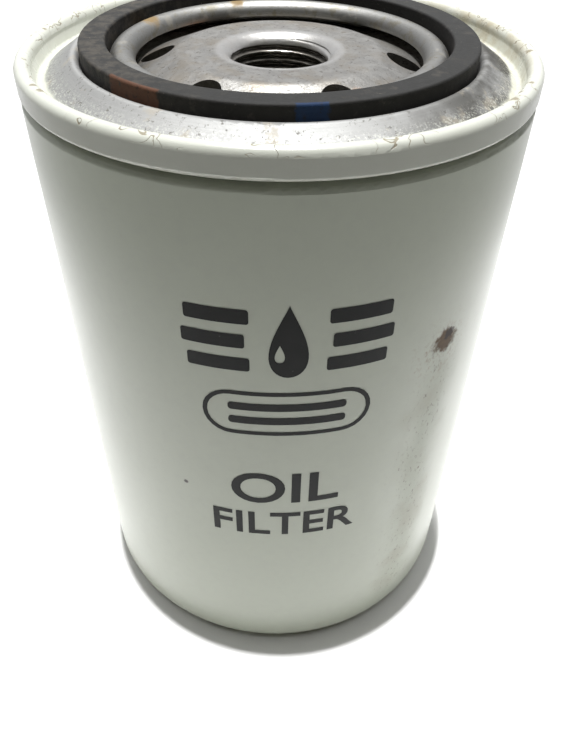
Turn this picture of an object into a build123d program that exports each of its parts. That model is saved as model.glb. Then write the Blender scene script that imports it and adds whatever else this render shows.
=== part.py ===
from build123d import *
import os
from math import asin, atan2, cos, hypot, pi, sin, sqrt, tan, radians

# Spin-on oil filter. Millimetres. Base centre at the origin, +Z up towards the gasket.

# ---- overall sizes ----
overall_height = 132.8
seam_diameter = 94.2
can_step = 0.1                      # how far the can's side stands inside the seam, on the radius

# ---- sheets ----
can_sheet = 0.45
lid_sheet = 0.5
plate_sheet = 3.2
cap_sheet = 0.5
layer_gap = 0.1                     # between the folded layers of the seam

# ---- seam ----
gasket_above_seam = 1.8
seam_height = 4.9
hook_tip_drop = 1.6                 # seam top down to the tip of the lid's hook
body_hook_drop = 3.6                # seam top down to the tip of the can's hook
neck_drop = 6.2                     # seam top down to where the can starts to neck in
neck_length = 0.9
sealant_radius = 0.2

# ---- gasket and its channel ----
gasket_diameter = 71.8
gasket_width = 4.7
gasket_height = 5.7
gasket_play = 0.3                   # between the gasket and the channel's outer wall
gasket_grip = 0.2                   # between the gasket and the channel's inner wall
channel_bend = 0.6
shoulder_rise = 3.95                # channel floor up to the corner of the shoulder
shoulder_bend = 0.8
valley_drop = 0.77                  # channel floor down to the corner of the valley
valley_inset = 0.8                  # chuck wall in to the corner of the valley
valley_bend = 0.9
bead_width = 4.125
bead_rise = 3.88                    # channel floor up to the top of the bead, on the middle line
bead_tip_rise = 1.55                # channel floor up to the bead's free edge

# ---- thread plate, for a 3/4-16 UNF stud ----
thread_minor_diameter = 17.4
thread_pitch = 25.4 / 16
boss_diameter = 24.6
boss_length = 12.1
bore_entry = 3.0
boss_root_bend = 1.2
plate_rise = 3.2                    # flange up to the raised middle
plate_middle_radius = 18.7
plate_slope = 21.0
plate_flange_cover = 2.8            # how far the flange reaches past the gasket channel
inlet_count = 6
inlet_diameter = 6.5
inlet_turn = -4.7
inlet_margin = 0.225                # from the inlet holes' outer edge to the bead's free edge

# ---- can ----
base_corner = 2.8
foot_width = 7.2                    # can side in to the inner edge of the foot ring
base_recess = 1.8
recess_slope_width = 2.8
recess_bend = 1.5

# ---- element ----
can_clearance = 6.05                # can's inner wall to the end caps
cap_to_boss = 2.4                   # free height from the top cap to the end of the boss
element_stand = 11.8                # can base's inner face up to the bottom cap
cap_rim = 4.5
cap_bend = 0.9
cap_hole_radius = 13.4
cap_collar = 2.2
potting_depth = 1.5
potting_gap = 0.05
media_rim_gap = 0.73                # pleat tips to the end caps' rims
media_sheet = 0.6
fold_radius = 0.42
pleat_count = 56
tube_diameter = 37.2
tube_sheet = 0.5
tube_to_media = 0.38
tube_hole_diameter = 4.4
tube_holes_round = 12
tube_rows = 9
clip_sheet = 0.3
clip_depth = 6.0
clip_gap = 0.02

# ---- drain-back valve ----
running_gap = 0.05
valve_hub_wall = 2.85
valve_foot_wall = 4.6
valve_foot_height = 2.0
valve_sheet = 1.1
flap_root_height = 4.2              # top cap up to the underside of the flap at the hub
lip_reach = 7.0                     # how far the lip's edge stands outside the inlet holes
lip_land = 1.6

# ---- bypass valve ----
bypass_hole_radius = 7.0
bypass_seat_radius = 15.5
bypass_seat_sheet = 0.8
cap_relief_radius = 11.0            # hole in the bottom cap under the bypass seat
seal_outer_radius = 9.0
seal_height = 1.2
pilot_radius = 5.45
poppet_flange_radius = 9.4
poppet_flange_sheet = 1.0
stem_radius = 2.0
stem_length = 16.5
stem_gap = 0.08
cage_radius = 12.2
cage_sheet = 0.6
cage_height = 15.1
cage_bend = 1.0
cage_windows = 4
window_width = 8.0
window_height = 7.0

# ---- springs ----
support_wire = 2.0
support_coil_radius = 20.0
support_turns = 3.0
bypass_wire = 1.0
bypass_coil_radius = 5.4
bypass_turns = 5.0
spring_gap = 0.02
spring_seat_sheet = 0.6
spring_seat_width = 6.0

# ---- heights and radii that follow from the sizes above ----
gasket_floor = overall_height - gasket_height
seam_top = overall_height - gasket_above_seam
seam_bottom = seam_top - seam_height
lid_wall = seam_diameter / 2 - lid_sheet / 2
body_hook = lid_wall - lid_sheet / 2 - layer_gap - can_sheet / 2
lid_hook = body_hook - can_sheet / 2 - layer_gap - lid_sheet / 2
neck_wall = lid_hook - lid_sheet / 2 - layer_gap - can_sheet / 2
chuck_wall = neck_wall - can_sheet / 2 - layer_gap - lid_sheet / 2
can_wall = seam_diameter / 2 - can_step - can_sheet / 2

gasket_outer = gasket_diameter / 2
gasket_inner = gasket_outer - gasket_width
channel_outer = gasket_outer + gasket_play + lid_sheet / 2
channel_inner = gasket_inner - gasket_grip - lid_sheet / 2
channel_mid = gasket_floor - lid_sheet / 2
bead_edge = channel_inner - bead_width

thread_radius = thread_minor_diameter / 2
boss_radius = boss_diameter / 2
flange_top = gasket_floor - lid_sheet
flange_bottom = flange_top - plate_sheet
middle_top = flange_top + plate_rise
middle_bottom = middle_top - plate_sheet
boss_bottom = middle_top - boss_length
flange_start = plate_middle_radius + plate_rise / tan(radians(plate_slope))
bend_shift = plate_sheet * tan(radians(plate_slope / 2))
plate_radius = channel_outer + plate_flange_cover
inlet_radius = inlet_diameter / 2
inlet_circle = bead_edge - lid_sheet / 2 - inlet_margin - inlet_radius

foot_inner = can_wall - foot_width
base_floor = base_recess + can_sheet
can_inner = can_wall - can_sheet / 2

cap_outer = can_inner - can_clearance
cap_wall = cap_outer - cap_sheet / 2
top_cap_top = boss_bottom - cap_to_boss
top_cap_under = top_cap_top - cap_sheet
bottom_cap_under = base_floor + element_stand
bottom_cap_top = bottom_cap_under + cap_sheet
media_bottom = bottom_cap_top + potting_depth
media_top = top_cap_under - potting_depth
tube_outer = tube_diameter / 2
tube_inner = tube_outer - tube_sheet
potting_inner = tube_outer + potting_gap
potting_outer = cap_wall - cap_sheet / 2 - potting_gap
inner_fold = tube_outer + tube_to_media + fold_radius + media_sheet / 2
outer_fold = cap_wall - cap_sheet / 2 - media_rim_gap - fold_radius - media_sheet / 2

valve_bore = boss_radius + running_gap
valve_hub = valve_bore + valve_hub_wall
valve_foot = valve_bore + valve_foot_wall
valve_bottom = top_cap_top + running_gap
valve_top = middle_bottom - running_gap
lip_radius = inlet_circle + inlet_radius + lip_reach
lip_top = flange_bottom - running_gap

seat_top = bottom_cap_top + bypass_seat_sheet
seal_bottom = seat_top + running_gap
flange_under = seal_bottom + seal_height
poppet_top = flange_under + poppet_flange_sheet
cage_top = seat_top + cage_height
cage_wall = cage_radius - cage_sheet / 2


def bend(before, corner, after, radius):
    """The two tangent points and the middle point of a round bend at a corner."""
    ux, uy = before[0] - corner[0], before[1] - corner[1]
    vx, vy = after[0] - corner[0], after[1] - corner[1]
    u, v = hypot(ux, uy), hypot(vx, vy)
    ux, uy, vx, vy = ux / u, uy / u, vx / v, vy / v
    half = sqrt(max(0.0, (1 - ux * vx - uy * vy) / 2))
    turn = asin(min(1.0, half))
    run = radius / tan(turn)
    bx, by = ux + vx, uy + vy
    b = hypot(bx, by)
    reach = radius / half - radius
    return (
        (corner[0] + ux * run, corner[1] + uy * run),
        (corner[0] + bx / b * reach, corner[1] + by / b * reach),
        (corner[0] + vx * run, corner[1] + vy * run),
    )


def straight(start, end):
    """A line, left out where its two ends meet."""
    if hypot(end[0] - start[0], end[1] - start[1]) > 1e-5:
        Line(start, end)


def outline(corners):
    """A closed outline. Each corner is (across, up) or (across, up, bend radius)."""
    count = len(corners)
    pieces = []
    for i in range(count):
        corner = corners[i]
        if len(corner) == 3:
            pieces.append(bend(corners[i - 1], corner, corners[(i + 1) % count], corner[2]))
        else:
            pieces.append((corner,))
    for i in range(count):
        piece = pieces[i]
        if len(piece) == 3:
            ThreePointArc(*piece)
        straight(piece[-1], pieces[(i + 1) % count][0])


def side_of_sheet(corners, shift):
    """One face of a bent sheet: its middle line moved sideways, with the bends kept concentric."""
    moved = []
    last = len(corners) - 1
    for i in range(last + 1):
        x, y = corners[i][0], corners[i][1]
        headings = []
        for j in (i - 1, i):
            if 0 <= j < last:
                dx = corners[j + 1][0] - corners[j][0]
                dy = corners[j + 1][1] - corners[j][1]
                size = hypot(dx, dy)
                headings.append((dx / size, dy / size))
        ax, ay = headings[0]
        bx, by = headings[-1]
        nx, ny = -ay - by, ax + bx
        scale = 2.0 / (nx * nx + ny * ny)
        px, py = x + nx * scale * shift, y + ny * scale * shift
        if 0 < i < last:
            left_turn = ax * by - ay * bx > 0
            radius = corners[i][2] - shift if left_turn else corners[i][2] + shift
            moved.append((px, py, radius))
        else:
            moved.append((px, py))
    return moved


def bent_sheet(corners, thickness):
    """The closed section of a bent sheet. Inner corners are (across, up, bend radius)."""
    left = side_of_sheet(corners, thickness / 2)
    right = side_of_sheet(corners, -thickness / 2)
    outline(left + right[::-1])


def coil(bottom, top, radius, wire, turns):
    """The middle line of a spring that stands between two heights."""
    low = bottom + spring_gap + wire / 2
    high = top - spring_gap - wire / 2
    return Helix(pitch=(high - low) / turns, height=high - low, radius=radius, center=(0, 0, low))


# ---- housing ----
with BuildPart() as can:
    with BuildSketch(Plane.XZ):
        with BuildLine():
            curl_top = seam_top - lid_sheet - layer_gap - can_sheet / 2
            curl = (body_hook - neck_wall) / 2
            bent_sheet(
                [
                    (0, base_recess + can_sheet / 2),
                    (foot_inner - recess_slope_width, base_recess + can_sheet / 2, recess_bend),
                    (foot_inner, can_sheet / 2, recess_bend),
                    (can_wall, can_sheet / 2, base_corner),
                    (can_wall, seam_top - neck_drop, 0.8),
                    (neck_wall, seam_top - neck_drop + neck_length, 0.8),
                    (neck_wall, curl_top, curl),
                    (body_hook, curl_top, curl),
                    (body_hook, seam_top - body_hook_drop),
                ],
                can_sheet,
            )
        make_face()
    revolve(axis=Axis.Z)

with BuildPart() as seam_lid:
    with BuildSketch(Plane.XZ):
        with BuildLine():
            lower_curl = (lid_wall - lid_hook) / 2
            upper_curl = (lid_wall - chuck_wall) / 2
            bent_sheet(
                [
                    (lid_hook, seam_top - hook_tip_drop),
                    (lid_hook, seam_bottom + lid_sheet / 2, lower_curl),
                    (lid_wall, seam_bottom + lid_sheet / 2, lower_curl),
                    (lid_wall, seam_top - lid_sheet / 2, upper_curl),
                    (chuck_wall, seam_top - lid_sheet / 2, upper_curl),
                    (chuck_wall, seam_top - upper_curl - 0.9, 1.0),
                    (chuck_wall - valley_inset, gasket_floor - valley_drop, valley_bend),
                    (channel_outer, gasket_floor + shoulder_rise, shoulder_bend),
                    (channel_outer, channel_mid, channel_bend),
                    (channel_inner, channel_mid, channel_bend),
                    (channel_inner, gasket_floor + bead_rise, bead_width / 2),
                    (bead_edge, gasket_floor + bead_rise, bead_width / 2),
                    (bead_edge, gasket_floor + bead_tip_rise),
                ],
                lid_sheet,
            )
        make_face()
    revolve(axis=Axis.Z)

with BuildPart() as seam_sealant:
    with BuildSketch(Plane.XZ):
        with Locations((lid_hook, seam_top - hook_tip_drop + sealant_radius + layer_gap / 2)):
            Circle(sealant_radius)
    revolve(axis=Axis.Z)

with BuildPart() as thread_plate:
    with BuildSketch(Plane.XZ):
        with BuildLine():
            thread_chamfer = thread_pitch * 0.6
            outline(
                [
                    (thread_radius + thread_chamfer, boss_bottom),
                    (thread_radius, boss_bottom + thread_chamfer),
                    (thread_radius, middle_top, bore_entry),
                    (plate_middle_radius, middle_top, 4.0),
                    (flange_start, flange_top, 3.0),
                    (plate_radius, flange_top, 0.4),
                    (plate_radius, flange_bottom, 0.4),
                    (flange_start - bend_shift, flange_bottom, 3.0),
                    (plate_middle_radius - bend_shift, middle_bottom, 2.0),
                    (boss_radius, middle_bottom, boss_root_bend),
                    (boss_radius, boss_bottom, 0.5),
                ]
            )
        make_face()
    revolve(axis=Axis.Z)
    with BuildSketch(Plane.XY.offset(flange_bottom - 1)):
        with PolarLocations(inlet_circle, inlet_count, start_angle=inlet_turn):
            Circle(inlet_radius)
    extrude(amount=middle_top - flange_bottom + 2, mode=Mode.SUBTRACT)

with BuildPart() as gasket:
    with BuildSketch(Plane.XZ):
        with BuildLine():
            outline(
                [
                    (gasket_inner + 0.4, gasket_floor),
                    (gasket_outer - 0.4, gasket_floor),
                    (gasket_outer, gasket_floor + 0.4),
                    (gasket_outer, overall_height, 0.45),
                    (gasket_inner, overall_height, 0.45),
                    (gasket_inner, gasket_floor + 0.4),
                ]
            )
        make_face()
    revolve(axis=Axis.Z)

# ---- filter element ----
with BuildPart() as top_end_cap:
    with BuildSketch(Plane.XZ):
        with BuildLine():
            middle = top_cap_top - cap_sheet / 2
            bent_sheet(
                [
                    (cap_hole_radius, middle - cap_collar),
                    (cap_hole_radius, middle, cap_bend),
                    (cap_wall, middle, cap_bend),
                    (cap_wall, top_cap_top - cap_rim),
                ],
                cap_sheet,
            )
        make_face()
    revolve(axis=Axis.Z)

with BuildPart() as bottom_end_cap:
    with BuildSketch(Plane.XZ):
        with BuildLine():
            middle = bottom_cap_under + cap_sheet / 2
            bent_sheet(
                [
                    (cap_relief_radius, middle),
                    (cap_wall, middle, cap_bend),
                    (cap_wall, bottom_cap_under + cap_rim),
                ],
                cap_sheet,
            )
        make_face()
    revolve(axis=Axis.Z)

with BuildPart() as top_potting:
    with BuildSketch(Plane.XZ):
        with BuildLine():
            outline(
                [
                    (potting_inner, media_top),
                    (potting_outer, media_top),
                    (potting_outer, top_cap_under, 0.8),
                    (potting_inner, top_cap_under),
                ]
            )
        make_face()
    revolve(axis=Axis.Z)

with BuildPart() as bottom_potting:
    with BuildSketch(Plane.XZ):
        with BuildLine():
            outline(
                [
                    (potting_inner, bottom_cap_top),
                    (potting_outer, bottom_cap_top, 0.8),
                    (potting_outer, media_bottom),
                    (potting_inner, media_bottom),
                ]
            )
        make_face()
    revolve(axis=Axis.Z)


def pleat_loop(inner_bend, outer_bend):
    """One side of the pleated paper, as a closed loop of legs and folds."""
    step = pi / pleat_count
    px, py = inner_fold, 0.0
    qx, qy = outer_fold * cos(step), outer_fold * sin(step)
    span = hypot(qx - px, qy - py)
    heading = atan2(qy - py, qx - px) - asin((inner_bend + outer_bend) / span)
    nx, ny = -sin(heading), cos(heading)
    start = (px + nx * inner_bend, py + ny * inner_bend)
    end = (qx - nx * outer_bend, qy - ny * outer_bend)

    def turned(point, angle, flip=1):
        x, y = point[0], point[1] * flip
        return (x * cos(angle) - y * sin(angle), x * sin(angle) + y * cos(angle))

    for i in range(pleat_count):
        here = 2 * step * i
        tip = here + step
        following = here + 2 * step
        leg_start = turned(start, here)
        leg_end = turned(end, here)
        back_start = turned(end, following, -1)
        back_end = turned(start, following, -1)
        Line(leg_start, leg_end)
        ThreePointArc(leg_end, turned((outer_fold + outer_bend, 0), tip), back_start)
        Line(back_start, back_end)
        ThreePointArc(back_end, turned((inner_fold - inner_bend, 0), following), turned(start, following))


with BuildPart() as filter_media:
    with BuildSketch(Plane.XY.offset(media_bottom)):
        with BuildLine():
            pleat_loop(fold_radius - media_sheet / 2, fold_radius + media_sheet / 2)
        make_face()
        with BuildLine():
            pleat_loop(fold_radius + media_sheet / 2, fold_radius - media_sheet / 2)
        make_face(mode=Mode.SUBTRACT)
    extrude(amount=media_top - media_bottom)

with BuildPart() as media_seam_clip:
    with BuildSketch(Plane.XY.offset(media_bottom)):
        with BuildLine():
            half_gap = fold_radius + media_sheet / 2 + clip_gap + clip_depth * 0.016
            tip = outer_fold + fold_radius + media_sheet / 2 + clip_gap + clip_sheet / 2
            arm = half_gap + clip_sheet / 2
            bent_sheet(
                [
                    (outer_fold - clip_depth, -arm),
                    (tip, -arm, arm * 0.98),
                    (tip, arm, arm * 0.98),
                    (outer_fold - clip_depth, arm),
                ],
                clip_sheet,
            )
        make_face()
    extrude(amount=media_top - media_bottom)
    add(media_seam_clip.part.rotate(Axis.Z, 180 / pleat_count), mode=Mode.REPLACE)

with BuildPart() as centre_tube:
    with BuildSketch(Plane.XY.offset(bottom_cap_top)):
        Circle(tube_outer)
        Circle(tube_inner, mode=Mode.SUBTRACT)
    extrude(amount=top_cap_under - bottom_cap_top)
    tube_length = top_cap_under - bottom_cap_top
    row_step = tube_length / (tube_rows + 1)
    for row in range(tube_rows):
        turn = 0 if row % 2 == 0 else 180 / tube_holes_round
        with Locations((0, 0, bottom_cap_top + row_step * (row + 1))):
            with PolarLocations(tube_outer, tube_holes_round, start_angle=turn):
                Cylinder(tube_hole_diameter / 2, 4, rotation=(0, 90, 0), mode=Mode.SUBTRACT)

# ---- drain-back valve ----
with BuildPart() as drainback_valve:
    with BuildSketch(Plane.XZ):
        with BuildLine():
            root = top_cap_top + flap_root_height
            land = lip_radius - lip_land
            rise = lip_top - valve_sheet * 0.75 - root
            slope_in = land - 2.6
            outline(
                [
                    (valve_bore, valve_bottom),
                    (valve_foot, valve_bottom, 0.5),
                    (valve_foot, valve_bottom + valve_foot_height, 0.5),
                    (valve_hub, valve_bottom + valve_foot_height + 0.8, 0.5),
                    (valve_hub, root, 0.8),
                    (slope_in, root + rise * 0.62, 3.0),
                    (lip_radius, root + rise, 0.2),
                    (lip_radius, lip_top, 0.2),
                    (land, lip_top, 0.4),
                    (slope_in - 0.3, root + rise * 0.62 + valve_sheet, 3.0),
                    (valve_hub, root + valve_sheet, 0.8),
                    (valve_hub, valve_top, 0.3),
                    (valve_bore + boss_root_bend + 0.3, valve_top),
                    (valve_bore, valve_top - boss_root_bend - 0.3),
                ]
            )
        make_face()
    revolve(axis=Axis.Z)

# ---- bypass valve ----
with BuildPart() as bypass_seat:
    with BuildSketch(Plane.XY.offset(bottom_cap_top)):
        Circle(bypass_seat_radius)
        Circle(bypass_hole_radius, mode=Mode.SUBTRACT)
    extrude(amount=bypass_seat_sheet)

with BuildPart() as bypass_cage:
    with BuildSketch(Plane.XZ):
        with BuildLine():
            bent_sheet(
                [
                    (bypass_seat_radius, seat_top + cage_sheet / 2),
                    (cage_wall, seat_top + cage_sheet / 2, cage_bend),
                    (cage_wall, cage_top - cage_sheet / 2, cage_bend),
                    (stem_radius + stem_gap, cage_top - cage_sheet / 2),
                ],
                cage_sheet,
            )
        make_face()
    revolve(axis=Axis.Z)
    with Locations((0, 0, seat_top + cage_height * 0.55)):
        with PolarLocations(cage_radius, cage_windows, start_angle=45):
            Box(6, window_width, window_height, mode=Mode.SUBTRACT)

with BuildPart() as bypass_seal:
    with BuildSketch(Plane.XY.offset(seal_bottom)):
        Circle(seal_outer_radius)
        Circle(pilot_radius + running_gap, mode=Mode.SUBTRACT)
    extrude(amount=seal_height)

with BuildPart() as bypass_poppet:
    with BuildSketch(Plane.XZ):
        with BuildLine():
            outline(
                [
                    (0, flange_under - seal_height * 0.6),
                    (pilot_radius, flange_under - seal_height * 0.6),
                    (pilot_radius, flange_under),
                    (poppet_flange_radius, flange_under),
                    (poppet_flange_radius, poppet_top),
                    (stem_radius, poppet_top, 0.6),
                    (stem_radius, poppet_top + stem_length, 0.5),
                    (0, poppet_top + stem_length),
                ]
            )
        make_face()
    revolve(axis=Axis.Z)

with BuildPart() as bypass_spring:
    with BuildLine() as bypass_coil:
        coil(poppet_top, cage_top - cage_sheet, bypass_coil_radius, bypass_wire, bypass_turns)
    with BuildSketch(Plane(origin=bypass_coil.line @ 0, z_dir=bypass_coil.line % 0)):
        Circle(bypass_wire / 2)
    sweep(path=bypass_coil.line)

# ---- support spring under the element ----
with BuildPart() as spring_seat:
    with BuildSketch(Plane.XZ):
        with BuildLine():
            seat_inner = support_coil_radius - spring_seat_width / 2
            seat_outer = support_coil_radius + spring_seat_width / 2
            middle = bottom_cap_under - spring_seat_sheet / 2
            bent_sheet(
                [
                    (seat_inner - 0.6, middle - 2.2),
                    (seat_inner, middle, 0.9),
                    (seat_outer, middle),
                ],
                spring_seat_sheet,
            )
        make_face()
    revolve(axis=Axis.Z)

with BuildPart() as support_spring:
    with BuildLine() as support_coil:
        coil(
            base_floor,
            bottom_cap_under - spring_seat_sheet,
            support_coil_radius,
            support_wire,
            support_turns,
        )
    with BuildSketch(Plane(origin=support_coil.line @ 0, z_dir=support_coil.line % 0)):
        Circle(support_wire / 2)
    sweep(path=support_coil.line)

parts = {
    "can": can,
    "seam_lid": seam_lid,
    "seam_sealant": seam_sealant,
    "thread_plate": thread_plate,
    "gasket": gasket,
    "support_spring": support_spring,
    "spring_seat": spring_seat,
    "bottom_end_cap": bottom_end_cap,
    "bottom_potting": bottom_potting,
    "filter_media": filter_media,
    "media_seam_clip": media_seam_clip,
    "centre_tube": centre_tube,
    "top_potting": top_potting,
    "top_end_cap": top_end_cap,
    "drainback_valve": drainback_valve,
    "bypass_seat": bypass_seat,
    "bypass_cage": bypass_cage,
    "bypass_spring": bypass_spring,
    "bypass_poppet": bypass_poppet,
    "bypass_seal": bypass_seal,
}

os.makedirs("parts", exist_ok=True)
for name, sub_part in parts.items():
    sub_part.part.label = name
    export_step(sub_part.part, f"parts/{name}.step")
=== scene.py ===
import math

import bmesh
import bpy
import numpy as np
from mathutils import Matrix, Vector


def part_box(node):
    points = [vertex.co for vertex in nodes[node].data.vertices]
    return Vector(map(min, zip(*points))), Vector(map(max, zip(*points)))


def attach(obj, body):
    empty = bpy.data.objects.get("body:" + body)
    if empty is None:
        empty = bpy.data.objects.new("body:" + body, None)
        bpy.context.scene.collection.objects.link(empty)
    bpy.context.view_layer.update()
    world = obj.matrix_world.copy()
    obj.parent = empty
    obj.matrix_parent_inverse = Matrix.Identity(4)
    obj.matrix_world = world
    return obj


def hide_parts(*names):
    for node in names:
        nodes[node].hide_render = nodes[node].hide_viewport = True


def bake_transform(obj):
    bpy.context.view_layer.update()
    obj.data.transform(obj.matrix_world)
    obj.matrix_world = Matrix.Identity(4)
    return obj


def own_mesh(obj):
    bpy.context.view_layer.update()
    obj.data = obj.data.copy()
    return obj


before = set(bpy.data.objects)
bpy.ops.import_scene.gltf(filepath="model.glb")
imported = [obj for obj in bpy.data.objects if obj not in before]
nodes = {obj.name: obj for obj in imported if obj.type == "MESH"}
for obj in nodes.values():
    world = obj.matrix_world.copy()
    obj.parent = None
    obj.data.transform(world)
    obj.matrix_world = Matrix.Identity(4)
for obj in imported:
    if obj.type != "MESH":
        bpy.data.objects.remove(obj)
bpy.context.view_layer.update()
scene = bpy.context.scene

MM = 0.001
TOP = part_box("gasket")[1].z / MM
SEAM_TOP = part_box("can")[1].z / MM + 0.6
CAN_RADIUS = 47.0
INLETS, INLET_CIRCLE, INLET_RADIUS, INLET_TURN = 6, 22.9, 3.25, -4.7
PLATE_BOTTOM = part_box("thread_plate")[0].z / MM
PLATE_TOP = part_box("thread_plate")[1].z / MM


# ---------------------------------------------------------------- materials
class Look:
    """One node material being put together. Lengths in it are millimetres on the object."""

    def __init__(self, name, **inputs):
        self.material = bpy.data.materials.new(name)
        self.material.use_nodes = True
        self.tree = self.material.node_tree
        self.shader = self.tree.nodes["Principled BSDF"]
        for key, value in inputs.items():
            self.put(self.shader.inputs[key.replace("_", " ")], value)
        coordinates = self.tree.nodes.new("ShaderNodeTexCoord")
        scale = self.tree.nodes.new("ShaderNodeVectorMath")
        scale.operation = "SCALE"
        scale.inputs["Scale"].default_value = 1 / MM
        self.tree.links.new(coordinates.outputs["Object"], scale.inputs[0])
        self.place = scale.outputs[0]
        split = self.tree.nodes.new("ShaderNodeSeparateXYZ")
        self.tree.links.new(self.place, split.inputs[0])
        self.x, self.y, self.z = split.outputs
        self.bump_normal = None

    def put(self, socket, value):
        if isinstance(value, bpy.types.NodeSocket):
            self.tree.links.new(value, socket)
        elif isinstance(value, (tuple, list)) and len(value) == 3 and len(socket.default_value) == 4:
            socket.default_value = (*value, 1)
        else:
            socket.default_value = value

    def sum(self, operation, a, b=0.0, clamp=False):
        node = self.tree.nodes.new("ShaderNodeMath")
        node.operation = operation
        node.use_clamp = clamp
        self.put(node.inputs[0], a)
        self.put(node.inputs[1], b)
        return node.outputs[0]

    def radius(self):
        return self.sum("SQRT", self.sum("ADD", self.sum("MULTIPLY", self.x, self.x), self.sum("MULTIPLY", self.y, self.y)))

    def angle(self):
        return self.sum("MULTIPLY", self.sum("ARCTAN2", self.y, self.x), 180 / math.pi)

    def stretched(self, x=1.0, y=1.0, z=1.0):
        node = self.tree.nodes.new("ShaderNodeVectorMath")
        node.operation = "MULTIPLY"
        self.put(node.inputs[0], self.place)
        node.inputs[1].default_value = (x, y, z)
        return node.outputs[0]

    def around(self, angle_scale=1.0, radius_scale=1.0, height_scale=1.0):
        """Angle, radius and height as a vector, so that a pattern runs round the axis."""
        node = self.tree.nodes.new("ShaderNodeCombineXYZ")
        self.put(node.inputs[0], self.sum("MULTIPLY", self.angle(), angle_scale))
        self.put(node.inputs[1], self.sum("MULTIPLY", self.radius(), radius_scale))
        self.put(node.inputs[2], self.sum("MULTIPLY", self.z, height_scale))
        return node.outputs[0]

    def noise(self, size, detail=4.0, roughness=0.55, vector=None, distortion=0.0):
        node = self.tree.nodes.new("ShaderNodeTexNoise")
        self.put(node.inputs["Vector"], vector if vector is not None else self.place)
        node.inputs["Scale"].default_value = 1 / size
        node.inputs["Detail"].default_value = detail
        node.inputs["Roughness"].default_value = roughness
        node.inputs["Distortion"].default_value = distortion
        return node.outputs["Fac"]

    def cells(self, size, feature="F1", output="Distance", randomness=1.0):
        node = self.tree.nodes.new("ShaderNodeTexVoronoi")
        node.feature = feature
        self.put(node.inputs["Vector"], self.place)
        node.inputs["Scale"].default_value = 1 / size
        node.inputs["Randomness"].default_value = randomness
        return node.outputs[output]

    def step(self, value, low, high):
        """0 below low, 1 above high (or the other way round if low is above high)."""
        node = self.tree.nodes.new("ShaderNodeMapRange")
        node.interpolation_type = "SMOOTHSTEP"
        flip = low > high
        self.put(node.inputs["Value"], value)
        node.inputs["From Min"].default_value = min(low, high)
        node.inputs["From Max"].default_value = max(low, high)
        node.inputs["To Min"].default_value = 1.0 if flip else 0.0
        node.inputs["To Max"].default_value = 0.0 if flip else 1.0
        return node.outputs[0]

    def scaled(self, value, low, high):
        node = self.tree.nodes.new("ShaderNodeMapRange")
        self.put(node.inputs["Value"], value)
        node.inputs["To Min"].default_value = low
        node.inputs["To Max"].default_value = high
        return node.outputs[0]

    def both(self, *values):
        result = values[0]
        for value in values[1:]:
            result = self.sum("MULTIPLY", result, value)
        return result

    def either(self, *values):
        result = values[0]
        for value in values[1:]:
            result = self.sum("MAXIMUM", result, value)
        return result

    def mix(self, share, a, b):
        node = self.tree.nodes.new("ShaderNodeMix")
        node.data_type = "RGBA"
        self.put(node.inputs["Factor"], share)
        self.put(node.inputs[6], a)
        self.put(node.inputs[7], b)
        return node.outputs[2]

    def mix_value(self, share, a, b):
        node = self.tree.nodes.new("ShaderNodeMix")
        node.data_type = "FLOAT"
        self.put(node.inputs["Factor"], share)
        self.put(node.inputs[2], a)
        self.put(node.inputs[3], b)
        return node.outputs[0]

    def spot(self, centre, size, ragged=0.5, grain=1.5, soft=0.3):
        """A ragged patch round a point on the surface."""
        node = self.tree.nodes.new("ShaderNodeVectorMath")
        node.operation = "DISTANCE"
        self.put(node.inputs[0], self.place)
        node.inputs[1].default_value = centre
        jitter = self.sum("MULTIPLY", self.sum("SUBTRACT", self.noise(grain, 5.0, 0.65), 0.5), 2 * ragged * size)
        return self.step(self.sum("ADD", node.outputs["Value"], jitter), size * (1 + soft), size * (1 - soft))

    def bump(self, height, distance, strength=1.0):
        node = self.tree.nodes.new("ShaderNodeBump")
        self.put(node.inputs["Height"], height)
        node.inputs["Distance"].default_value = distance * MM
        node.inputs["Strength"].default_value = strength
        if self.bump_normal is not None:
            self.tree.links.new(self.bump_normal, node.inputs["Normal"])
        self.bump_normal = node.outputs["Normal"]
        self.tree.links.new(self.bump_normal, self.shader.inputs["Normal"])

    def facing_up(self):
        node = self.tree.nodes.new("ShaderNodeNewGeometry")
        split = self.tree.nodes.new("ShaderNodeSeparateXYZ")
        self.tree.links.new(node.outputs["Normal"], split.inputs[0])
        return split.outputs[2]

    def set(self, **inputs):
        for key, value in inputs.items():
            self.put(self.shader.inputs[key.replace("_", " ")], value)
        return self


def on_can(arc, height, lift=0.0):
    """A point on the can's side: millimetres round from the front, and up from the base."""
    angle = arc / CAN_RADIUS - math.pi / 2
    radius = CAN_RADIUS + lift
    return (radius * math.cos(angle), radius * math.sin(angle), height)


def at(radius, degrees, height):
    return (radius * math.cos(math.radians(degrees)), radius * math.sin(math.radians(degrees)), height)


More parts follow.
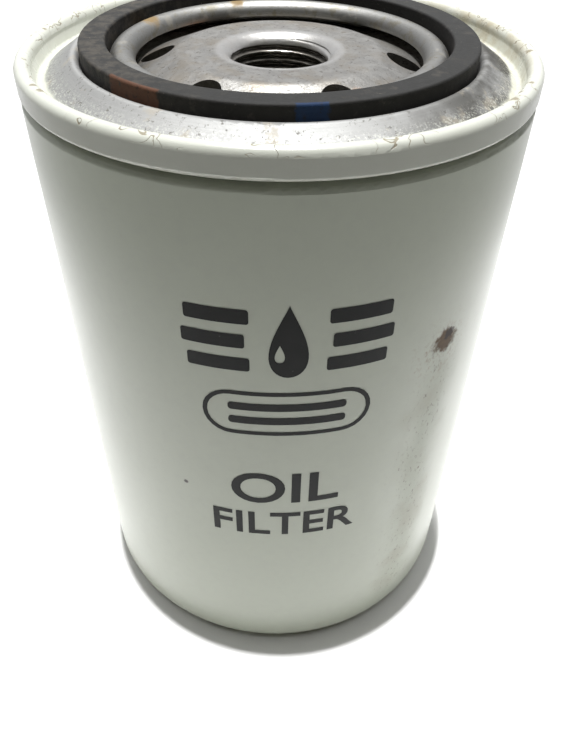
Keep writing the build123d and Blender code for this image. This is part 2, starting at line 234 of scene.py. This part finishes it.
def can_paint_look():
    look = Look("can_paint", Metallic=0.0)
    cream = look.mix(look.noise(38.0, 3.0), (0.486, 0.516, 0.428), (0.512, 0.541, 0.458))
    mottled = look.mix(look.both(look.step(look.noise(2.2, 3.0, 0.6), 0.40, 0.80), 0.25), cream, (0.440, 0.460, 0.400))
    # a faint brown run with specks down the right of the front
    column = look.sum("ABSOLUTE", look.sum("SUBTRACT", look.angle(), -50.5))
    run = look.step(look.sum("ADD", column, look.scaled(look.noise(6.0), -7.0, 7.0)), 11.0, 0.0)
    reach = look.both(look.step(look.z, 2.0, 14.0), look.step(look.z, 100.0, 78.0))
    specks = look.step(look.noise(0.9, 6.0, 0.75, look.stretched(1, 1, 0.6)), 0.57, 0.66)
    wash = look.step(look.noise(9.0, 4.0), 0.42, 0.68)
    run = look.both(run, reach)
    stained = look.mix(look.both(run, wash, 0.45), mottled, (0.400, 0.375, 0.300))
    stained = look.mix(look.both(run, specks, 0.95), stained, (0.150, 0.118, 0.080))
    # the rust spot where the paint is chipped
    rust = look.spot(on_can(33.3, 89.7), 2.7, 0.95, 1.6, 0.35)
    halo = look.spot(on_can(32.4, 87.6), 5.6, 1.1, 2.2, 0.8)
    core = look.spot(on_can(34.2, 90.9), 1.2, 0.9, 0.8, 0.35)
    flakes = look.step(look.noise(1.0, 6.0, 0.75), 0.50, 0.66)
    stained = look.mix(look.both(halo, flakes, 0.8), stained, (0.260, 0.180, 0.100))
    stained = look.mix(rust, stained, look.mix(look.noise(0.8), (0.070, 0.040, 0.018), (0.170, 0.098, 0.042)))
    stained = look.mix(core, stained, (0.040, 0.022, 0.014))
    # one dark fleck
    fleck = look.spot(on_can(-19.7, 58.1), 0.5, 0.3, 0.5, 0.3)
    stained = look.mix(fleck, stained, (0.050, 0.040, 0.032))
    # patchy darker grey over the lowest few millimetres of the can, round its bottom corner
    base_darkening = look.both(look.step(look.z, 4.5, 0.2), look.step(look.noise(2.5), 0.35, 0.65))
    stained = look.mix(look.both(base_darkening, 0.6), stained, (0.330, 0.310, 0.260))
    look.set(Base_Color=stained)
    rough = look.scaled(look.noise(18.0, 3.0), 0.28, 0.34)
    look.set(Roughness=look.mix_value(look.either(rust, look.both(run, 0.5)), rough, 0.8))
    look.set(Coat_Weight=0.12, Coat_Roughness=0.22)
    look.bump(look.noise(0.55, 2.0), 0.006)
    look.bump(look.noise(24.0, 1.0), 0.08)
    look.bump(rust, -0.10)
    return look.material


def lid_look():
    look = Look("lid_metal")
    radius = look.radius()
    edge = look.sum("ADD", radius, look.scaled(look.noise(5.0, 5.0, 0.6), -0.9, 0.9))
    painted = look.step(edge, 41.6, 42.4)
    mist = look.both(look.step(radius, 38.5, 42.0), look.step(look.noise(0.45, 3.0, 0.7), 0.50, 0.62))
    painted = look.either(painted, look.both(mist, 0.75))
    cream = look.mix(look.noise(20.0, 4.0), (0.530, 0.545, 0.480), (0.590, 0.600, 0.540))
    # brown dirt that has settled in the valley, most of it on one side
    inside = look.both(look.step(radius, 45.4, 44.6), look.step(radius, 38.5, 41.0))
    side = look.step(look.x, -25.0, 40.0)
    dirt = look.both(inside, look.step(look.noise(5.0, 6.0, 0.62), 0.62, 0.30), look.scaled(side, 0.25, 1.0))
    cream = look.mix(look.both(dirt, 0.45), cream, (0.360, 0.320, 0.220))
    sludge = look.both(inside, look.step(look.sum("ABSOLUTE", look.sum("SUBTRACT", look.angle(), 12.0)), 42.0, 4.0),
                       look.step(look.noise(6.0, 6.0, 0.7), 0.34, 0.66))
    cream = look.mix(look.both(sludge, 0.6), cream, (0.370, 0.300, 0.170))
    cream = look.mix(look.both(sludge, look.step(look.noise(0.9, 6.0, 0.75), 0.56, 0.66), 0.7), cream, (0.200, 0.145, 0.080))
    # fine lines and chips on top of the rim
    on_top = look.step(look.z, SEAM_TOP - 1.6, SEAM_TOP - 0.7)
    hair = look.step(look.sum("ABSOLUTE", look.sum("SUBTRACT", look.noise(3.4, 2.0, 0.4, None, 0.6), 0.5)), 0.014, 0.004)
    some = look.step(look.noise(15.0, 2.0), 0.47, 0.53)
    chips = look.step(look.noise(0.7, 4.0, 0.6, look.around(0.25, 1.0, 1.0)), 0.70, 0.74)
    marks = look.either(look.both(hair, some), look.both(chips, look.step(look.noise(9.0), 0.56, 0.62)))
    marks = look.both(marks, on_top, look.step(radius, 43.6, 44.2))
    for centre, size in (
        (at(45.0, -145.5, SEAM_TOP), 0.9), (at(45.4, -149.0, SEAM_TOP - 0.4), 0.6), (at(44.2, -86.0, SEAM_TOP - 1.0), 0.8),
        (at(44.3, -80.5, SEAM_TOP - 0.8), 0.6), (at(45.2, -38.0, SEAM_TOP), 0.9), (at(44.5, -33.0, SEAM_TOP - 0.3), 0.8),
        (at(45.4, -27.0, SEAM_TOP), 0.5), (at(44.9, -5.0, SEAM_TOP), 0.7), (at(45.1, 171.0, SEAM_TOP), 0.5),
    ):
        marks = look.either(marks, look.spot(centre, size, 1.1, 1.1, 0.4))
    cream = look.mix(look.both(marks, 0.85), cream, (0.210, 0.175, 0.110))
    # painted shade: patchy darker grey on the seam's lower lip, standing in for the shadow line under the seam
    lip = look.both(look.step(look.z, SEAM_TOP - 3.9, SEAM_TOP - 4.5), look.step(look.noise(3.0), 0.35, 0.6))
    cream = look.mix(look.both(lip, 0.35), cream, (0.420, 0.410, 0.340))
    # bare sheet: spun lines, specks and water marks
    spun = look.noise(0.32, 3.0, 0.6, look.around(0.02, 1.0, 1.0))
    frost = look.noise(0.42, 4.0, 0.7)
    steel = look.mix(look.both(0.5, look.sum("ADD", spun, frost)), (0.275, 0.275, 0.268), (0.450, 0.452, 0.446))
    specks = look.step(look.noise(0.85, 6.0, 0.75), 0.57, 0.65)
    steel = look.mix(look.both(specks, 0.85), steel, (0.110, 0.102, 0.090))
    # painted shade: patchy near-black on the right of the bare slope, standing in for the dim reflection on that side
    right_slope_shade = look.both(look.step(look.x, 5.0, 38.0), look.step(look.noise(7.0, 4.0), 0.30, 0.60))
    steel = look.mix(look.both(right_slope_shade, look.step(radius, 35.0, 37.5), 0.95), steel, (0.085, 0.082, 0.073))
    stain = look.step(look.noise(4.2, 5.0, 0.62), 0.56, 0.66)
    steel = look.mix(look.both(stain, 0.45), steel, (0.360, 0.320, 0.250))
    bead = look.step(radius, 31.2, 30.6)
    steel = look.mix(look.both(bead, 0.55), steel, (0.190, 0.186, 0.172))
    olive = look.both(bead, look.step(look.noise(2.6, 6.0, 0.7), 0.50, 0.64))
    steel = look.mix(look.both(olive, 0.6), steel, (0.200, 0.178, 0.125))
    patch = look.spot(at(29.0, 153.0, TOP - 2.0), 2.2, 0.7, 1.6, 0.4)
    patch = look.either(patch, look.spot(at(28.6, 108.0, TOP - 1.8), 1.6, 0.7, 1.4, 0.4))
    steel = look.mix(patch, steel, (0.215, 0.150, 0.070))
    look.set(Base_Color=look.mix(painted, steel, cream))
    dull = look.either(look.both(specks, 0.6), look.both(stain, 0.5), patch)
    clean_rough = look.mix_value(bead, look.scaled(frost, 0.58, 0.76), look.scaled(frost, 0.40, 0.54))
    metal_rough = look.mix_value(dull, clean_rough, 0.72)
    look.set(Metallic=look.both(look.sum("SUBTRACT", 1.0, painted), look.scaled(dull, 0.95, 0.35)))
    paint_rough = look.mix_value(look.either(dirt, marks), 0.26, 0.6)
    look.set(Roughness=look.mix_value(painted, metal_rough, paint_rough))
    look.bump(spun, 0.008)
    look.bump(frost, 0.020)
    look.bump(look.noise(9.0, 3.0), 0.10)
    look.bump(marks, -0.05)
    return look.material


def plate_look():
    look = Look("plate_metal")
    spangle = look.cells(1.5, output="Color")
    tone = look.tree.nodes.new("ShaderNodeSeparateColor")
    look.put(tone.inputs[0], spangle)
    fine = look.noise(0.5, 6.0, 0.72)
    grain = look.sum("ADD", look.both(tone.outputs[0], 0.35), look.both(fine, 0.65))
    zinc = look.mix(grain, (0.190, 0.184, 0.172), (0.420, 0.412, 0.392))
    dark = look.step(look.noise(1.1, 6.0, 0.78), 0.53, 0.64)
    zinc = look.mix(look.both(dark, 0.85), zinc, (0.085, 0.078, 0.068))
    film = look.step(look.noise(6.5, 5.0, 0.62), 0.44, 0.68)
    zinc = look.mix(look.both(film, 0.6), zinc, (0.270, 0.235, 0.185))
    rust = look.spot(at(24.6, 127.0, PLATE_TOP - 2.0), 2.6, 0.75, 1.5, 0.45)
    rust = look.either(rust, look.spot(at(22.0, 112.0, PLATE_TOP - 1.4), 2.0, 0.9, 1.5, 0.45))
    rust = look.either(rust, look.spot(at(22.8, -54.5, PLATE_TOP - 1.7), 1.5, 0.9, 1.2, 0.45))
    rust = look.either(rust, look.spot(at(25.0, -150.0, PLATE_TOP - 2.6), 1.2, 0.9, 1.2, 0.45))
    rust = look.both(rust, look.step(look.noise(0.6, 5.0, 0.7), 0.36, 0.50))
    zinc = look.mix(rust, zinc, look.mix(look.noise(0.7), (0.170, 0.075, 0.030), (0.330, 0.165, 0.075)))
    radius = look.radius()
    bore = look.both(look.step(radius, 11.2, 10.2), look.step(look.z, PLATE_TOP - 1.5, PLATE_TOP - 2.6))
    oily = look.mix(look.noise(1.2, 4.0, 0.6, look.around(0.05, 1.0, 1.0)), (0.150, 0.138, 0.122), (0.340, 0.320, 0.290))
    # painted highlight: a pale ring on the rounded lip round the top of the bore
    lip = look.both(look.step(radius, 12.6, 11.2), look.step(look.z, PLATE_TOP - 2.6, PLATE_TOP - 1.5))
    zinc = look.mix(look.both(lip, 0.55), zinc, (0.700, 0.690, 0.670))
    zinc = look.mix(bore, zinc, oily)
    look.set(Base_Color=zinc)
    rough = look.mix_value(look.either(rust, look.both(dark, 0.5)), look.scaled(fine, 0.30, 0.48), 0.78)
    rough = look.mix_value(look.either(bore, look.both(lip, 0.8)), rough, 0.27)
    look.set(Roughness=rough, Metallic=look.mix_value(rust, 0.88, 0.1))
    look.bump(look.noise(0.42, 5.0, 0.65), 0.055)
    look.bump(look.noise(3.5, 3.0), 0.10)
    look.bump(rust, 0.04)
    return look.material


def gasket_look():
    look = Look("gasket_rubber")
    radius = look.radius()
    angle = look.angle()
    black = look.mix(look.noise(2.4, 5.0), (0.012, 0.011, 0.011), (0.026, 0.025, 0.024))
    top = look.step(look.facing_up(), 0.5, 0.9)
    powder = look.mix(look.noise(1.3, 6.0, 0.7), (0.016, 0.016, 0.015), (0.032, 0.032, 0.031))
    rubber = look.mix(look.both(top, 0.95), black, powder)
    worn = look.both(look.step(look.x, -8.0, -30.0), look.step(look.noise(2.2, 6.0, 0.68), 0.40, 0.66))
    rubber = look.mix(look.both(worn, 0.45), rubber, (0.105, 0.092, 0.074))
    crumbs = look.both(look.step(look.noise(0.5, 6.0, 0.8), 0.62, 0.68), look.step(look.noise(6.0), 0.40, 0.60))
    rubber = look.mix(look.both(crumbs, 0.7), rubber, (0.250, 0.225, 0.185))
    smears = look.step(look.noise(3.2, 5.0, 0.65), 0.56, 0.70)
    rubber = look.mix(look.both(smears, 0.4), rubber, (0.075, 0.068, 0.058))
    # two painted marks down the outside
    wall = look.step(radius, 35.2, 35.6)
    for middle, half, ink in ((-129.8, 9.0, (0.115, 0.052, 0.030)), (-83.0, 4.4, (0.010, 0.032, 0.090))):
        away = look.sum("ABSOLUTE", look.sum("SUBTRACT", angle, middle))
        mark = look.step(look.sum("ADD", away, look.scaled(look.noise(1.2, 4.0), -1.2, 1.2)), half, half - 0.8)
        mark = look.both(mark, wall, look.step(look.noise(0.9, 5.0, 0.7), 0.25, 0.50))
        rubber = look.mix(look.both(mark, 0.85), rubber, ink)
    look.set(Base_Color=rubber)
    look.set(Roughness=look.scaled(look.noise(1.6, 4.0), 0.56, 0.76), Specular_IOR_Level=0.20)
    look.bump(look.noise(0.35, 4.0, 0.6), 0.030)
    look.bump(look.noise(2.8, 3.0), 0.06)
    return look.material


def ink_look():
    look = Look("print_ink")
    grey = look.mix(look.noise(3.0, 4.0), (0.005, 0.0055, 0.005), (0.011, 0.0115, 0.011))
    worn = look.step(look.noise(0.8, 5.0, 0.7), 0.66, 0.74)
    look.set(Base_Color=look.mix(look.both(worn, 0.6), grey, (0.120, 0.125, 0.115)))
    look.set(Roughness=look.scaled(look.noise(2.0), 0.42, 0.54), Specular_IOR_Level=0.22)
    look.bump(look.noise(0.5, 3.0), 0.008)
    return look.material


def steel_look(name, low, high, grain=0.4, rough=(0.25, 0.40), turned=True, tint=None):
    look = Look(name, Metallic=0.95)
    vector = look.around(0.03, 1.0, 1.0) if turned else None
    lines = look.noise(grain, 4.0, 0.6, vector)
    tone = look.mix(lines, low, high)
    if tint is not None:
        tone = look.mix(look.both(look.step(look.noise(5.0, 4.0), 0.50, 0.66), 0.5), tone, tint)
    look.set(Base_Color=tone, Roughness=look.scaled(look.noise(2.0, 4.0), *rough))
    look.bump(lines, 0.012)
    look.bump(look.noise(4.0, 2.0), 0.04)
    return look.material


def paper_look():
    look = Look("pleated_paper", Specular_IOR_Level=0.25)
    fibre = look.noise(0.35, 6.0, 0.75, look.stretched(1.0, 1.0, 0.5))
    tone = look.mix(fibre, (0.560, 0.440, 0.240), (0.740, 0.620, 0.400))
    tone = look.mix(look.both(look.step(look.noise(7.0), 0.50, 0.70), 0.4), tone, (0.500, 0.370, 0.190))
    ribs = look.sum("SINE", look.sum("MULTIPLY", look.z, 2 * math.pi / 1.8))
    ribbed = look.mix(look.step(ribs, 0.0, 1.0), tone, look.mix(0.5, tone, (0.440, 0.330, 0.180)))
    look.set(Base_Color=ribbed, Roughness=look.scaled(fibre, 0.78, 0.95))
    look.bump(ribs, 0.05)
    look.bump(fibre, 0.04)
    return look.material


def resin_look(name, low, high):
    look = Look(name)
    look.set(Base_Color=look.mix(look.noise(2.5, 5.0), low, high), Roughness=look.scaled(look.noise(1.5), 0.35, 0.55))
    look.bump(look.noise(1.8, 4.0), 0.10)
    return look.material


def rubber_look(name, low, high):
    look = Look(name)
    tone = look.mix(look.noise(1.8, 5.0), low, high)
    dust = look.both(look.step(look.noise(0.9, 6.0, 0.7), 0.58, 0.72), 0.25)
    look.set(Base_Color=look.mix(dust, tone, (0.300, 0.260, 0.220)), Roughness=look.scaled(look.noise(1.2), 0.50, 0.68))
    look.bump(look.noise(0.4, 4.0), 0.02)
    return look.material


def floor_look():
    look = Look("floor", Specular_IOR_Level=0.3)
    look.set(Base_Color=look.mix(look.noise(60.0, 3.0), (0.860, 0.860, 0.855), (0.885, 0.885, 0.880)))
    look.set(Roughness=look.scaled(look.noise(25.0), 0.45, 0.60))
    look.bump(look.noise(1.5, 3.0), 0.01)
    return look.material


plate_metal = plate_look()
looks = {
    "can": can_paint_look(),
    "seam_lid": lid_look(),
    "gasket": gasket_look(),
    "thread_plate": plate_metal,
    "seam_sealant": resin_look("sealant", (0.020, 0.018, 0.016), (0.045, 0.040, 0.036)),
    "support_spring": steel_look("spring_steel", (0.200, 0.205, 0.215), (0.380, 0.385, 0.400), 0.5, (0.28, 0.45), False),
    "spring_seat": steel_look("seat_steel", (0.380, 0.380, 0.370), (0.600, 0.600, 0.590)),
    "filter_media": paper_look(),
    "media_seam_clip": steel_look("clip_steel", (0.420, 0.420, 0.420), (0.640, 0.640, 0.630), 0.5, (0.25, 0.4), False),
    "centre_tube": steel_look("tube_steel", (0.400, 0.405, 0.410), (0.620, 0.625, 0.630), 0.6, (0.28, 0.42), True, (0.420, 0.380, 0.300)),
    "drainback_valve": rubber_look("valve_rubber", (0.012, 0.012, 0.012), (0.030, 0.029, 0.028)),
    "bypass_seal": rubber_look("seal_rubber", (0.014, 0.014, 0.014), (0.034, 0.034, 0.034)),
    "bypass_poppet": steel_look("poppet_steel", (0.480, 0.430, 0.300), (0.700, 0.640, 0.480)),
}
looks["bypass_spring"] = looks["support_spring"]
looks["bypass_seat"] = looks["spring_seat"]
cap_steel = steel_look("cap_steel", (0.480, 0.480, 0.470), (0.700, 0.700, 0.690), 0.35, (0.22, 0.38), True, (0.450, 0.420, 0.360))
for name in ("top_end_cap", "bottom_end_cap", "bypass_cage"):
    looks[name] = cap_steel
plastisol = resin_look("plastisol", (0.170, 0.026, 0.018), (0.270, 0.050, 0.032))
for name in ("top_potting", "bottom_potting"):
    looks[name] = plastisol
for name, material in looks.items():
    mesh = nodes[name].data
    mesh.materials.clear()
    mesh.materials.append(material)


def new_object(name, mesh, material=None):
    made = bpy.data.objects.new(name, mesh)
    scene.collection.objects.link(made)
    if material is not None:
        mesh.materials.append(material)
    return made


def smooth(mesh, degrees=35.0):
    """Smooth shading with the sharp edges kept."""
    mesh.shade_smooth()
    work = bmesh.new()
    work.from_mesh(mesh)
    for edge in work.edges:
        if len(edge.link_faces) == 2:
            edge.smooth = edge.calc_face_angle(0.0) < math.radians(degrees)
    work.to_mesh(mesh)
    work.free()


# ---------------------------------------------------------------- thread plate, with its cut thread
def bent(corners, steps=7):
    """A closed outline of (across, up, bend radius) corners, as points with the bends drawn."""
    points = []
    count = len(corners)
    for i in range(count):
        x, y, radius = corners[i]
        if radius <= 0:
            points.append((x, y))
            continue
        before = Vector(corners[i - 1][:2]) - Vector((x, y))
        after = Vector(corners[(i + 1) % count][:2]) - Vector((x, y))
        before.normalize()
        after.normalize()
        half = math.acos(max(-1, min(1, before.dot(after)))) / 2
        run = radius / math.tan(half)
        centre = Vector((x, y)) + (before + after).normalized() * radius / math.sin(half)
        start = Vector((x, y)) + before * run - centre
        end = Vector((x, y)) + after * run - centre
        turn = start.angle_signed(end)
        for k in range(steps + 1):
            arm = start.copy()
            arm.rotate(Matrix.Rotation(-turn * k / steps, 2))
            points.append((centre.x + arm.x, centre.y + arm.y))
    return points


def plate_mesh():
    minor, major, pitch = 8.7, 9.525, 25.4 / 16
    bottom, top = PLATE_BOTTOM, PLATE_TOP
    sheet, rise, slope, shoulder, rim, boss = 3.2, 3.2, math.radians(21), 18.7, 39.25, 12.3
    shift = sheet * math.tan(slope / 2)
    foot = shoulder + rise / math.tan(slope)
    section = bent(
        [
            (11.7, top, 0.0),
            (shoulder, top, 4.0),
            (foot, top - rise, 3.0),
            (rim, top - rise, 0.4),
            (rim, top - rise - sheet, 0.4),
            (foot - shift, top - rise - sheet, 3.0),
            (shoulder - shift, top - sheet, 2.0),
            (boss, top - sheet, 1.2),
            (boss, bottom, 0.5),
            (10.05, bottom, 0.0),
        ]
    )
    turns, rows = 180, 132
    entry = 3.0
    bore = [bottom + (top - bottom) * k / rows for k in range(1, rows)]
    verts = []
    for j in range(turns):
        angle = 2 * math.pi * j / turns
        c, s = math.cos(angle), math.sin(angle)
        for r, z in section:
            verts.append((r * c * MM, r * s * MM, z * MM))
        for z in bore:
            phase = ((z / pitch) - j / turns) % 1.0
            tooth = abs(phase - 0.5) * 2
            depth = min(1.0, max(0.0, (tooth - 0.16) / 0.70))
            r = minor + (major - minor) * depth
            if z > top - entry:
                r = max(r, minor + entry - math.sqrt(max(0.0, entry ** 2 - (z - (top - entry)) ** 2)))
            if z < bottom + 0.95:
                r = max(r, minor + (bottom + 0.95 - z) * 1.3)
            verts.append((r * c * MM, r * s * MM, z * MM))
    ring = len(section) + len(bore)
    faces = []
    for j in range(turns):
        following = (j + 1) % turns
        for k in range(ring):
            after = (k + 1) % ring
            faces.append((j * ring + k, following * ring + k, following * ring + after, j * ring + after))
    mesh = bpy.data.meshes.new("thread_plate_formed")
    mesh.from_pydata(verts, [], faces)
    mesh.validate()
    work = bmesh.new()
    work.from_mesh(mesh)
    bmesh.ops.recalc_face_normals(work, faces=work.faces)
    work.to_mesh(mesh)
    work.free()
    return mesh


def drilled(made, count, circle, radius, turn):
    """Cut the round inlets through a revolved plate."""
    cutters = bmesh.new()
    for i in range(count):
        x, y, _ = at(circle, turn + 360 / count * i, 0)
        bmesh.ops.create_cone(
            cutters, cap_ends=True, segments=48, radius1=radius * MM, radius2=radius * MM, depth=0.02,
            matrix=Matrix.Translation((x * MM, y * MM, (PLATE_TOP - 3) * MM)),
        )
    mesh = bpy.data.meshes.new("inlets")
    cutters.to_mesh(mesh)
    cutters.free()
    tool = new_object("inlets", mesh)
    cut = made.modifiers.new("inlets", "BOOLEAN")
    cut.operation = "DIFFERENCE"
    cut.solver = "EXACT"
    cut.object = tool
    bpy.context.view_layer.update()
    result = bpy.data.meshes.new_from_object(made.evaluated_get(bpy.context.evaluated_depsgraph_get()))
    made.modifiers.clear()
    made.data = result
    bpy.data.objects.remove(tool)


plate = new_object("thread_plate_formed", plate_mesh())
drilled(plate, INLETS, INLET_CIRCLE, INLET_RADIUS, INLET_TURN)
plate.data.materials.clear()
plate.data.materials.append(plate_metal)
smooth(plate.data, 40)
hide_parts("thread_plate")
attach(plate, "housing")


# ---------------------------------------------------------------- generic print on the can
ink = ink_look()
PRINT_MIDDLE = 1.3
PRINT_LIFT = 0.045
STRIP = 0.6


def wrapped(name, flat):
    """A flat mesh in millimetres, cut into strips and bent round the can."""
    work = bmesh.new()
    work.from_mesh(flat)
    low = min(v.co.x for v in work.verts)
    high = max(v.co.x for v in work.verts)
    place = low + STRIP
    while place < high:
        geometry = work.verts[:] + work.edges[:] + work.faces[:]
        bmesh.ops.bisect_plane(work, geom=geometry, plane_co=(place, 0, 0), plane_no=(1, 0, 0))
        place += STRIP
    for v in work.verts:
        v.co = Vector(on_can(PRINT_MIDDLE + v.co.x, v.co.y, PRINT_LIFT)) * MM
    bmesh.ops.dissolve_degenerate(work, dist=1e-7, edges=work.edges)
    work.normal_update()
    outward = {f: f.normal.dot(Vector((*f.calc_center_median()[:2], 0)).normalized()) for f in work.faces}
    bmesh.ops.reverse_faces(work, faces=[f for f in work.faces if outward[f] < 0])
    # slivers that lie across the wall would spoil the shading next to them
    bmesh.ops.delete(work, geom=[f for f in work.faces if abs(outward[f]) < 0.9], context="FACES")
    for f in work.faces:
        f.smooth = False
    mesh = bpy.data.meshes.new(name)
    work.to_mesh(mesh)
    work.free()
    made = new_object(name, mesh, ink)
    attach(made, "housing")
    return made


def flat_shape(outlines, holes=()):
    """Filled flat outlines, with holes, as one mesh."""
    curve = bpy.data.curves.new("shape", "CURVE")
    curve.dimensions = "2D"
    curve.fill_mode = "BOTH"
    for points in list(outlines) + list(holes):
        spline = curve.splines.new("POLY")
        spline.points.add(len(points) - 1)
        for p, (x, y) in zip(spline.points, points):
            p.co = (x, y, 0, 1)
        spline.use_cyclic_u = True
    made = bpy.data.objects.new("shape", curve)
    scene.collection.objects.link(made)
    bpy.context.view_layer.update()
    mesh = bpy.data.meshes.new_from_object(made.evaluated_get(bpy.context.evaluated_depsgraph_get()))
    bpy.data.objects.remove(made)
    return mesh


def flat_text(words, height, width, middle):
    """Plain capitals in the built-in font, scaled to a height and a width in millimetres."""
    curve = bpy.data.curves.new("words", "FONT")
    curve.body = words
    curve.size = 10
    curve.offset = 0.16
    curve.resolution_u = 6
    made = bpy.data.objects.new("words", curve)
    scene.collection.objects.link(made)
    bpy.context.view_layer.update()
    mesh = bpy.data.meshes.new_from_object(made.evaluated_get(bpy.context.evaluated_depsgraph_get()))
    bpy.data.objects.remove(made)
    co = np.array([v.co for v in mesh.vertices])
    low, high = co.min(0), co.max(0)
    for v in mesh.vertices:
        v.co.x = (v.co.x - (low[0] + high[0]) / 2) * width / (high[0] - low[0])
        v.co.y = (v.co.y - (low[1] + high[1]) / 2) * height / (high[1] - low[1]) + middle
        v.co.z = 0
    return mesh


def rounded_box(x0, x1, y0, y1, r, steps=6):
    points = []
    for cx, cy, start in ((x1 - r, y1 - r, 0), (x0 + r, y1 - r, 90), (x0 + r, y0 + r, 180), (x1 - r, y0 + r, 270)):
        for k in range(steps + 1):
            a = math.radians(start + 90 * k / steps)
            points.append((cx + r * math.cos(a), cy + r * math.sin(a)))
    return points


def drop(x, y, size, steps=40):
    """A plain falling drop, its point up."""
    points = []
    for k in range(steps):
        a = 2 * math.pi * k / steps
        narrow = math.sin(a / 2) ** 1.35
        points.append((x + size * 0.62 * math.sin(a) * narrow, y + size * math.cos(a)))
    return points


bars = []
for side in (-1, 1):
    for row, (inner, outer) in enumerate(((6.6, 17.6), (7.4, 18.4), (6.6, 17.6))):
        y = 103.0 - 5.0 * row
        x0, x1 = sorted((side * inner, side * outer))
        bars.append(rounded_box(x0, x1, y - 1.45, y + 1.45, 0.5))
wrapped("print_drop", flat_shape([drop(0.0, 98.0, 7.6)], [drop(-1.5, 95.6, 1.9)]))
wrapped("print_bars", flat_shape(bars))
wrapped("print_frame", flat_shape([rounded_box(-15.6, 15.6, 76.0, 86.8, 5.3)], [rounded_box(-14.7, 14.7, 76.9, 85.9, 4.4)]))
wrapped("print_frame_bars", flat_shape([rounded_box(-10.8, 10.8, 82.2, 84.0, 0.7), rounded_box(-10.8, 10.8, 78.8, 80.6, 0.7)]))
wrapped("print_word_oil", flat_text("OIL", 9.2, 22.0, 60.5))
wrapped("print_word_filter", flat_text("FILTER", 7.4, 30.5, 49.0))


# ---------------------------------------------------------------- springs and the drain-back flap
def stand_in(node, name):
    """A copy of a CAD piece that may change shape, shown in its place."""
    made = new_object(name, nodes[node].data.copy())
    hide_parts(node)
    return made


support = stand_in("support_spring", "support_spring_coil")
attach(support, "housing")
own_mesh(support)

relief = stand_in("bypass_spring", "bypass_spring_coil")
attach(relief, "element")
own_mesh(relief)


def part_of(node, name, keep):
    """The faces of a CAD piece whose middle passes a test, as an object that stands for them."""
    made = stand_in(node, name)
    work = bmesh.new()
    work.from_mesh(made.data)
    away = [f for f in work.faces if not keep(f.calc_center_median() / MM)]
    bmesh.ops.delete(work, geom=away, context="FACES")
    work.to_mesh(made.data)
    work.free()
    return made


HUB_RADIUS = 15.4
flap = part_of("drainback_valve", "drainback_valve_flap", lambda c: math.hypot(c.x, c.y) > HUB_RADIUS)
hub = part_of("drainback_valve", "drainback_valve_hub", lambda c: math.hypot(c.x, c.y) <= HUB_RADIUS)
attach(hub, "element")


# ---------------------------------------------------------------- floor, lights and camera
floor_mesh = bpy.data.meshes.new("floor")
half = 3.0
floor_mesh.from_pydata([(-half, -half, 0), (half, -half, 0), (half, half, 0), (-half, half, 0)], [], [(0, 1, 2, 3)])
floor = new_object("floor", floor_mesh, floor_look())
floor.location.z = -0.0001

world = bpy.data.worlds.new("studio")
scene.world = world
world.use_nodes = True
sky = world.node_tree
background = sky.nodes["Background"]
direction = sky.nodes.new("ShaderNodeTexCoord")
split = sky.nodes.new("ShaderNodeSeparateXYZ")
sky.links.new(direction.outputs["Generated"], split.inputs[0])
behind = sky.nodes.new("ShaderNodeMapRange")
behind.interpolation_type = "SMOOTHSTEP"
behind.inputs["From Min"].default_value = -0.30
behind.inputs["From Max"].default_value = 0.70
sky.links.new(split.outputs[1], behind.inputs["Value"])
shade = sky.nodes.new("ShaderNodeMix")
shade.data_type = "RGBA"
shade.inputs[6].default_value = (0.070, 0.069, 0.052, 1)
shade.inputs[7].default_value = (0.960, 0.970, 1.000, 1)
sky.links.new(behind.outputs[0], shade.inputs["Factor"])
sky.links.new(shade.outputs[2], background.inputs["Color"])
background.inputs["Strength"].default_value = 0.75


def soft_box(name, place, target, size, power, tint=(1.0, 1.0, 1.0)):
    data = bpy.data.lights.new(name, "AREA")
    data.shape = "RECTANGLE"
    data.size, data.size_y = size
    data.energy = power
    data.color = tint
    made = bpy.data.objects.new(name, data)
    scene.collection.objects.link(made)
    made.location = place
    made.rotation_euler = (Vector(target) - Vector(place)).to_track_quat("-Z", "Y").to_euler()
    return made


def pool(name, place, target, radius, power, edge=0.6, size=0.012):
    """A spotlight that lights a round pool of floor."""
    data = bpy.data.lights.new(name, "SPOT")
    data.energy = power
    data.spot_size = 2 * math.atan(radius / place[2])
    data.spot_blend = edge
    data.shadow_soft_size = size
    made = bpy.data.objects.new(name, data)
    scene.collection.objects.link(made)
    made.location = place
    made.rotation_euler = (Vector(target) - Vector(place)).to_track_quat("-Z", "Y").to_euler()


pool("key", (-0.06, 0.17, 6.0), (0.0, 0.03, 0.0), 0.25, 1950.0, 0.6, 0.045)
pool("table", (0.0, 0.62, 1.60), (0.0, 0.62, 0.0), 0.85, 125.0, 0.9, 0.10)
soft_box("ceiling", (0.0, 0.02, 0.95), (0, 0.02, 0), (1.60, 0.50), 2.2)


def photographer():
    """A hand-held camera close to the filter, looking steeply down at it."""
    yaw, pitch, roll = math.radians(1.33), math.radians(41.66), math.radians(0.88)
    ahead = Vector((math.sin(yaw) * math.cos(pitch), math.cos(yaw) * math.cos(pitch), -math.sin(pitch)))
    right = Vector((math.cos(yaw), -math.sin(yaw), 0))
    up = right.cross(ahead)
    across = right * math.cos(roll) + up * math.sin(roll)
    above = up * math.cos(roll) - right * math.sin(roll)
    data = bpy.data.cameras.new("camera")
    made = bpy.data.objects.new("camera", data)
    scene.collection.objects.link(made)
    place = Matrix((across, above, -ahead)).transposed().to_4x4()
    place.translation = Vector((-1.9, -134.7, 169.1)) * MM
    made.matrix_world = place
    data.sensor_fit = "AUTO"
    data.sensor_width = 36
    data.lens = 33.02
    data.clip_start = 0.005
    data.clip_end = 20
    return made


scene.camera = photographer()
scene.view_settings.view_transform = "Standard"

# ---------------------------------------------------------------- close
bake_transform(flap)
bpy.context.view_layer.update()
